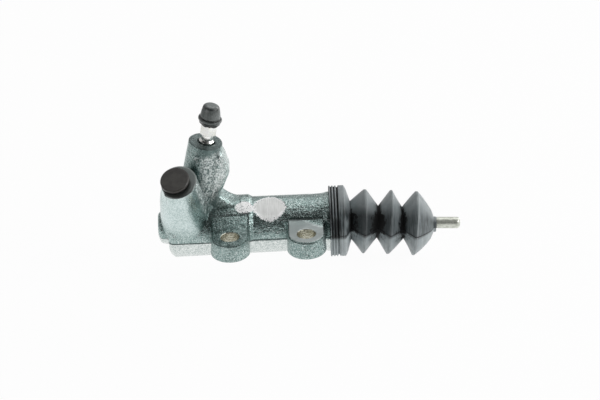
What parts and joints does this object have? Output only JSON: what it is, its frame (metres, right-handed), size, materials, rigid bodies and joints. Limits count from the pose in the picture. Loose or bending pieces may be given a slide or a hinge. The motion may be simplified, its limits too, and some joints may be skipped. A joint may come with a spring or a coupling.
{
  "type": "clutch slave cylinder",
  "caption": "Cast hydraulic clutch slave cylinder with bolt lugs, a plugged inlet boss, a capped bleed screw, and a sprung piston that drives a push rod through a bellows boot.",
  "frame": {"origin": "midway between the centres of the two bolt holes, on the face that is bolted down", "axes": "+Z along the bolts, away from the bolted face; +X along the bore towards the push rod; the barrel lies on the +Y side of the bolts"},
  "size_m": [0.156, 0.0548, 0.0915],
  "materials": {
    "casting": "rough cast, plated",
    "piston_metal": "turned",
    "seal_rubber": "smooth",
    "boot_rubber": "satin",
    "cap_rubber": "satin",
    "spring_steel": "drawn wire",
    "plated_steel": "zinc plated",
    "plug_plastic": "moulded"
  },
  "bodies": {
    "cylinder": {"cylinder_body": "casting", "boot": "boot_rubber", "return_spring": "spring_steel"},
    "piston_set": {"piston": "piston_metal", "front_cup_seal": "seal_rubber", "rear_cup_seal": "seal_rubber"},
    "rod": {"push_rod": "plated_steel"},
    "bleeder": {"bleed_screw": "plated_steel"},
    "cap": {"bleeder_cap": "cap_rubber"},
    "plug": {"port_plug": "plug_plastic"}
  },
  "joints": [
    {"name": "piston_slide", "type": "slide", "parent": "cylinder", "child": "piston_set", "axis": [1, 0, 0], "range_m": [-0.018, 0], "stiffness_N_per_m": 300, "deforming": ["boot", "return_spring"]},
    {"name": "rod_swing", "type": "hinge", "parent": "piston_set", "child": "rod", "pos_m": [0.0171, 0.0265, 0.0015], "axis": [0, 1, 0], "range_deg": [-3.7, 3.7], "stiffness_Nm_per_rad": 0.6},
    {"name": "bleeder_turn", "type": "hinge", "parent": "cylinder", "child": "bleeder", "pos_m": [-0.0397, 0.0265, 0.0015], "axis": [0.1994, 0, 0.9799], "range_deg": [0, 180]},
    {"name": "cap_pull", "type": "slide", "parent": "bleeder", "child": "cap", "axis": [0.1994, 0, 0.9799], "range_m": [0, 0.02]},
    {"name": "plug_pull", "type": "slide", "parent": "cylinder", "child": "plug", "axis": [-0.169, -0.449, 0.8774], "range_m": [0, 0.02]}
  ]
}
